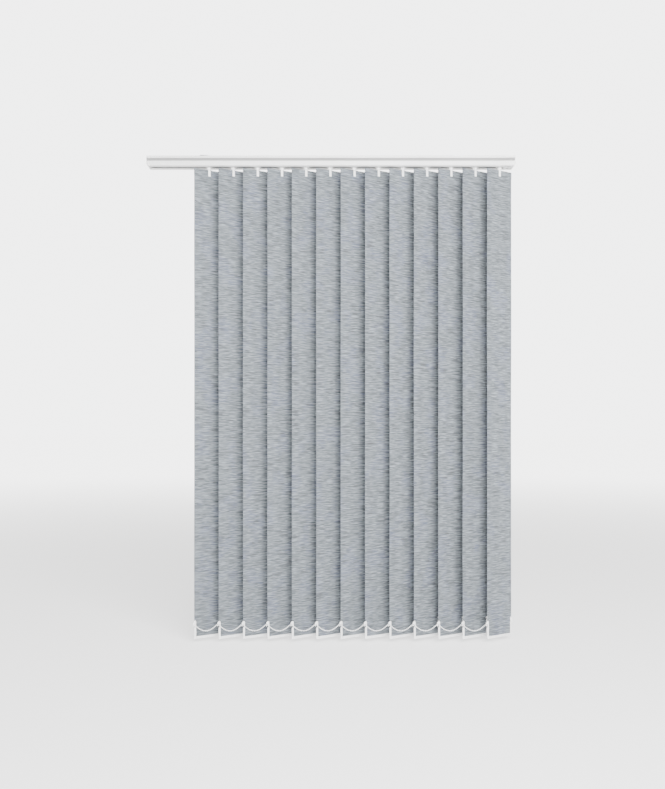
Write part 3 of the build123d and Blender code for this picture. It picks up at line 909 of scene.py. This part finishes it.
# Tree that sets a drawn fitting on a louvre: once, or on both edges, turned to the louvre's
# angle about its hook's axis.
fitting_tree = new_group(
    "Set on louvre",
    [
        ("Geometry", "NodeSocketGeometry", None),
        ("Hook Axis", "NodeSocketVector", None),
        ("Louvre Turn", "NodeSocketFloat", LOUVRE_TURN),
        ("Count", "NodeSocketInt", 1),
        ("Finish", "NodeSocketMaterial", None),
    ],
    [("Geometry", "NodeSocketGeometry")],
    tree_type="GeometryNodeTree",
)
nodes = fitting_tree.nodes
links = fitting_tree.links
group_in = nodes.new("NodeGroupInput")
group_out = nodes.new("NodeGroupOutput")
spots = nodes.new("GeometryNodeMeshLine")
spots.inputs["Offset"].default_value = (0, 0, 0)
which = nodes.new("GeometryNodeInputIndex")
half_turn = nodes.new("ShaderNodeMath")
half_turn.operation = "MULTIPLY_ADD"
half_turn.inputs[1].default_value = math.pi
turn_vector = nodes.new("ShaderNodeCombineXYZ")
place_on = nodes.new("GeometryNodeInstanceOnPoints")
to_axis = nodes.new("GeometryNodeSetPosition")
realize = nodes.new("GeometryNodeRealizeInstances")
paint = nodes.new("GeometryNodeSetMaterial")
links.new(group_in.outputs["Count"], spots.inputs["Count"])
links.new(which.outputs["Index"], half_turn.inputs[0])
links.new(group_in.outputs["Louvre Turn"], half_turn.inputs[2])
links.new(half_turn.outputs["Value"], turn_vector.inputs["Z"])
links.new(spots.outputs["Mesh"], place_on.inputs["Points"])
links.new(group_in.outputs["Geometry"], place_on.inputs["Instance"])
links.new(turn_vector.outputs["Vector"], place_on.inputs["Rotation"])
links.new(place_on.outputs["Instances"], realize.inputs["Geometry"])
links.new(realize.outputs["Geometry"], to_axis.inputs["Geometry"])
links.new(group_in.outputs["Hook Axis"], to_axis.inputs["Offset"])
links.new(to_axis.outputs["Geometry"], paint.inputs["Geometry"])
links.new(group_in.outputs["Finish"], paint.inputs["Material"])
links.new(paint.outputs["Geometry"], group_out.inputs["Geometry"])


def socket_key(tree, label):
    """Identifier of a tree's input, by its name."""
    return next(
        item.identifier
        for item in tree.interface.items_tree
        if item.item_type == "SOCKET" and item.in_out == "INPUT" and item.name == label
    )


def grown(piece_name, source, tree, **values):
    """Plain mesh object that a node tree makes from a source mesh or curve."""
    holder = placed(f"{piece_name}_source", source)
    modifier = holder.modifiers.new("Nodes", "NODES")
    modifier.node_group = tree
    for label, value in values.items():
        modifier[socket_key(tree, label.replace("_", " "))] = value
    mesh = evaluated_mesh(holder)
    bpy.data.objects.remove(holder)
    mesh.name = piece_name
    return placed(piece_name, mesh)


weight_coating = surface_material(
    "White coated weight",
    colour=(0.84, 0.84, 0.84),
    dusty=(0.77, 0.77, 0.765),
    roughness=(0.35, 0.5),
    drift_scale=30.0,
    grain_scale=1800.0,
    grain_height=0.00004,
)
chain_plastic = surface_material(
    "White chain",
    colour=(0.92, 0.92, 0.92),
    dusty=(0.87, 0.87, 0.87),
    roughness=(0.25, 0.4),
    drift_scale=60.0,
    grain_scale=2600.0,
    grain_height=0.00002,
)
ring_mesh = joined_mesh("chain_rings", [ring_drawing()])
fittings = (
    ("hanger_plate", joined_mesh("hanger_plate", [hanger_drawing()]), 1, hook_acetal),
    ("bottom_weight", joined_mesh("bottom_weight", [weight_drawing()]), 1, weight_coating),
    ("chain_clips", joined_mesh("chain_clips", clip_drawing()), 2, hook_acetal),
    ("chain_rings", ring_mesh, 2, chain_plastic),
)
for number in LOUVRES:
    for fitting_name, drawing, count, finish in fittings:
        if fitting_name == "chain_rings" and number == 1:
            continue
        piece = grown(
            f"{fitting_name}_{number:02d}",
            drawing,
            fitting_tree,
            Hook_Axis=(hook_axes[number], 0.0, 0.0),
            Louvre_Turn=LOUVRE_TURN,
            Count=count,
            Finish=finish,
        )
        if fitting_name == "chain_rings":
            dress(piece, finish, f"vane_{number:02d}", "chain_white")
        else:
            dress(piece, finish, f"vane_{number:02d}", "hook_white", f"louvre_{number:02d}")

# ---------------------------------------------------------------------------------------------
# Bottom chains: white moulded bead chain, one at the room side of the louvres and one at the
# window side, in twelve lengths each that hang slack between the clips of neighbouring louvres.
CHAIN_SAG = 0.0165
LOUVRE_PITCH = 0.0683
RING_TO_CHAIN = 0.0034
CHAIN_RUNS = 6
BEAD_RADIUS = 0.0016
BEAD_PITCH = 0.0044
CORE_RADIUS = 0.0006
LINKS = len(LOUVRES) - 1

# Tree that strings round beads on a thin core along a curve.
bead_tree = new_group(
    "Bead chain",
    [
        ("Geometry", "NodeSocketGeometry", None),
        ("Bead Radius", "NodeSocketFloat", BEAD_RADIUS),
        ("Bead Pitch", "NodeSocketFloat", BEAD_PITCH),
        ("Core Radius", "NodeSocketFloat", CORE_RADIUS),
        ("Finish", "NodeSocketMaterial", None),
    ],
    [("Geometry", "NodeSocketGeometry")],
    tree_type="GeometryNodeTree",
)
nodes = bead_tree.nodes
links = bead_tree.links
group_in = nodes.new("NodeGroupInput")
group_out = nodes.new("NodeGroupOutput")
route_curve = nodes.new("GeometryNodeMeshToCurve")
resample = nodes.new("GeometryNodeResampleCurve")
resample.mode = "LENGTH"
bead = nodes.new("GeometryNodeMeshUVSphere")
bead.inputs["Segments"].default_value = 10
bead.inputs["Rings"].default_value = 7
string_beads = nodes.new("GeometryNodeInstanceOnPoints")
core_ring = nodes.new("GeometryNodeCurvePrimitiveCircle")
core_ring.inputs["Resolution"].default_value = 8
core = nodes.new("GeometryNodeCurveToMesh")
core.inputs["Fill Caps"].default_value = True
gather = nodes.new("GeometryNodeJoinGeometry")
realize = nodes.new("GeometryNodeRealizeInstances")
smooth = nodes.new("GeometryNodeSetShadeSmooth")
paint = nodes.new("GeometryNodeSetMaterial")
links.new(group_in.outputs["Geometry"], route_curve.inputs["Mesh"])
links.new(route_curve.outputs["Curve"], resample.inputs["Curve"])
links.new(group_in.outputs["Bead Pitch"], resample.inputs["Length"])
links.new(group_in.outputs["Bead Radius"], bead.inputs["Radius"])
links.new(resample.outputs["Curve"], string_beads.inputs["Points"])
links.new(bead.outputs["Mesh"], string_beads.inputs["Instance"])
links.new(group_in.outputs["Core Radius"], core_ring.inputs["Radius"])
links.new(route_curve.outputs["Curve"], core.inputs["Curve"])
links.new(core_ring.outputs["Curve"], core.inputs["Profile Curve"])
links.new(string_beads.outputs["Instances"], gather.inputs["Geometry"])
links.new(core.outputs["Mesh"], gather.inputs["Geometry"])
links.new(gather.outputs["Geometry"], realize.inputs["Geometry"])
links.new(realize.outputs["Geometry"], smooth.inputs["Geometry"])
links.new(smooth.outputs["Geometry"], paint.inputs["Geometry"])
links.new(group_in.outputs["Finish"], paint.inputs["Material"])
links.new(paint.outputs["Geometry"], group_out.inputs["Geometry"])


def hanging_line(name, points):
    """Points of the smooth line a chain hangs in, and their mesh."""
    curve = bpy.data.curves.new(f"{name}_line", "CURVE")
    curve.dimensions = "3D"
    curve.resolution_u = 12
    spline = curve.splines.new("NURBS")
    spline.points.add(len(points) - 1)
    for control, point in zip(spline.points, points):
        control.co = (*point, 1)
    spline.order_u = 3
    spline.use_endpoint_u = True
    holder = placed(f"{name}_line", curve)
    line = evaluated_mesh(holder)
    bpy.data.objects.remove(holder)
    return line, [vertex.co.copy() for vertex in line.vertices]


for side, chain_name in ((-1, "front_chain"), (1, "back_chain")):
    for number in LOUVRES[:LINKS]:
        post = louvre_to_place(side * POST_REACH, 0, RING_LEVEL, hook_axes[number])
        width = LOUVRE_PITCH - 2 * RING_TO_CHAIN
        shares = [run / CHAIN_RUNS for run in range(CHAIN_RUNS + 1)]
        points = [
            post + Vector((RING_TO_CHAIN + width * s, 0, -4 * CHAIN_SAG * s * (1 - s)))
            for s in shares
        ]
        piece_name = f"{chain_name}_link_{number:02d}"
        line, path = hanging_line(piece_name, points)
        link = grown(
            piece_name,
            line,
            bead_tree,
            Bead_Radius=BEAD_RADIUS,
            Bead_Pitch=BEAD_PITCH,
            Core_Radius=CORE_RADIUS,
            Finish=chain_plastic,
        )
        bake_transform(link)
        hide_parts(chain_name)
    end_ring = grown(
        f"{chain_name}_end_ring",
        ring_mesh,
        fitting_tree,
        Hook_Axis=(hook_axes[1], 0.0, 0.0),
        Louvre_Turn=LOUVRE_TURN + (math.pi if side < 0 else 0.0),
        Count=1,
        Finish=chain_plastic,
    )
    dress(end_ring, chain_plastic, f"{chain_name}_lead", "chain_white", f"{chain_name}_end")

# ---------------------------------------------------------------------------------------------
# Studio: a plain pale floor just under the louvres and a plain pale backdrop behind, soft light
# from the front, stronger from the right, and a level camera a little below the blind's middle.
# The floor glows more towards its far side, where it meets the backdrop without a line.
FLOOR_LEVEL = cad_low[2] - 0.012
FLOOR_REACH = 60
FADE_START = 1.2
FADE_END = 9.0
GLOW_NEAR = 0.2
GLOW_FAR = 3.1
# The floor also glows a little for every ray, so it lights the blind from below: painted light from
# a part that is no lamp.
GLOW_ALWAYS = 0.9
stage_paint = bpy.data.materials.new("Glowing pale studio paper")
stage_paint.use_nodes = True
tree = stage_paint.node_tree
shader = tree.nodes["Principled BSDF"]
shader.inputs["Base Color"].default_value = (0.86, 0.86, 0.865, 1)
shader.inputs["Roughness"].default_value = 0.9
shader.inputs["Emission Color"].default_value = (1, 1, 1, 1)
place = tree.nodes.new("ShaderNodeTexCoord")
distance = tree.nodes.new("ShaderNodeVectorMath")
distance.operation = "LENGTH"
fade = tree.nodes.new("ShaderNodeMapRange")
fade.interpolation_type = "SMOOTHSTEP"
fade.inputs["From Min"].default_value = FADE_START
fade.inputs["From Max"].default_value = FADE_END
fade.inputs["To Min"].default_value = GLOW_NEAR
fade.inputs["To Max"].default_value = GLOW_FAR
seen = tree.nodes.new("ShaderNodeLightPath")
glow = tree.nodes.new("ShaderNodeMath")
glow.operation = "MULTIPLY_ADD"
glow.inputs[2].default_value = GLOW_ALWAYS
tree.links.new(place.outputs["Object"], distance.inputs[0])
tree.links.new(distance.outputs["Value"], fade.inputs["Value"])
tree.links.new(seen.outputs["Is Camera Ray"], glow.inputs[0])
tree.links.new(fade.outputs["Result"], glow.inputs[1])
tree.links.new(glow.outputs["Value"], shader.inputs["Emission Strength"])
floor_mesh = bpy.data.meshes.new("studio_floor")
floor_mesh.from_pydata(
    [
        (-FLOOR_REACH, -FLOOR_REACH, FLOOR_LEVEL),
        (FLOOR_REACH, -FLOOR_REACH, FLOOR_LEVEL),
        (FLOOR_REACH, FLOOR_REACH, FLOOR_LEVEL),
        (-FLOOR_REACH, FLOOR_REACH, FLOOR_LEVEL),
    ],
    [],
    [(0, 1, 2, 3)],
)
floor = placed("studio_floor", floor_mesh)
floor.data.materials.append(stage_paint)

# The studio's surrounding light is brighter above than below; the camera sees a plain backdrop.
world = bpy.data.worlds.new("Studio")
bpy.context.scene.world = world
world.use_nodes = True
tree = world.node_tree
surround = tree.nodes["Background"]
direction = tree.nodes.new("ShaderNodeTexCoord")
height = tree.nodes.new("ShaderNodeSeparateXYZ")
rise = tree.nodes.new("ShaderNodeMapRange")
rise.inputs["From Min"].default_value = -0.6
rise.inputs["From Max"].default_value = 1.0
rise.inputs["To Min"].default_value = 0.26
rise.inputs["To Max"].default_value = 1.1
backdrop = tree.nodes.new("ShaderNodeBackground")
backdrop.inputs["Color"].default_value = (0.965, 0.967, 0.97, 1)
backdrop.inputs["Strength"].default_value = 5.0
seen = tree.nodes.new("ShaderNodeLightPath")
either = tree.nodes.new("ShaderNodeMixShader")
surround.inputs["Color"].default_value = (1.0, 0.985, 0.965, 1)
tree.links.new(direction.outputs["Generated"], height.inputs["Vector"])
tree.links.new(height.outputs["Z"], rise.inputs["Value"])
tree.links.new(rise.outputs["Result"], surround.inputs["Strength"])
tree.links.new(seen.outputs["Is Camera Ray"], either.inputs["Fac"])
tree.links.new(surround.outputs["Background"], either.inputs[1])
tree.links.new(backdrop.outputs["Background"], either.inputs[2])
tree.links.new(either.outputs["Shader"], tree.nodes["World Output"].inputs["Surface"])


def soft_light(name, place, aim, size, power):
    """Large square studio light aimed at a point."""
    lamp = bpy.data.lights.new(name, "AREA")
    lamp.shape = "SQUARE"
    lamp.size = size
    lamp.energy = power
    light = placed(name, lamp)
    light.location = place
    light.rotation_euler = (Vector(aim) - Vector(place)).to_track_quat("-Z", "Y").to_euler()


BLIND_MIDDLE = (0, 0, -0.7)
soft_light("key_light", (0.9, -2.85, 0.4), aim=BLIND_MIDDLE, size=2.4, power=305)
soft_light("fill_light", (-3.0, -2.8, -0.2), aim=BLIND_MIDDLE, size=2.4, power=66)

lens = bpy.data.cameras.new("camera")
lens.sensor_width = 36
lens.lens = 36.9
lens.shift_y = 0.0429
camera = placed("camera", lens)
camera.location = (0.0047, -2.285, -0.768)
camera.rotation_euler = Euler((math.pi / 2, 0, 0))
bpy.context.scene.camera = camera
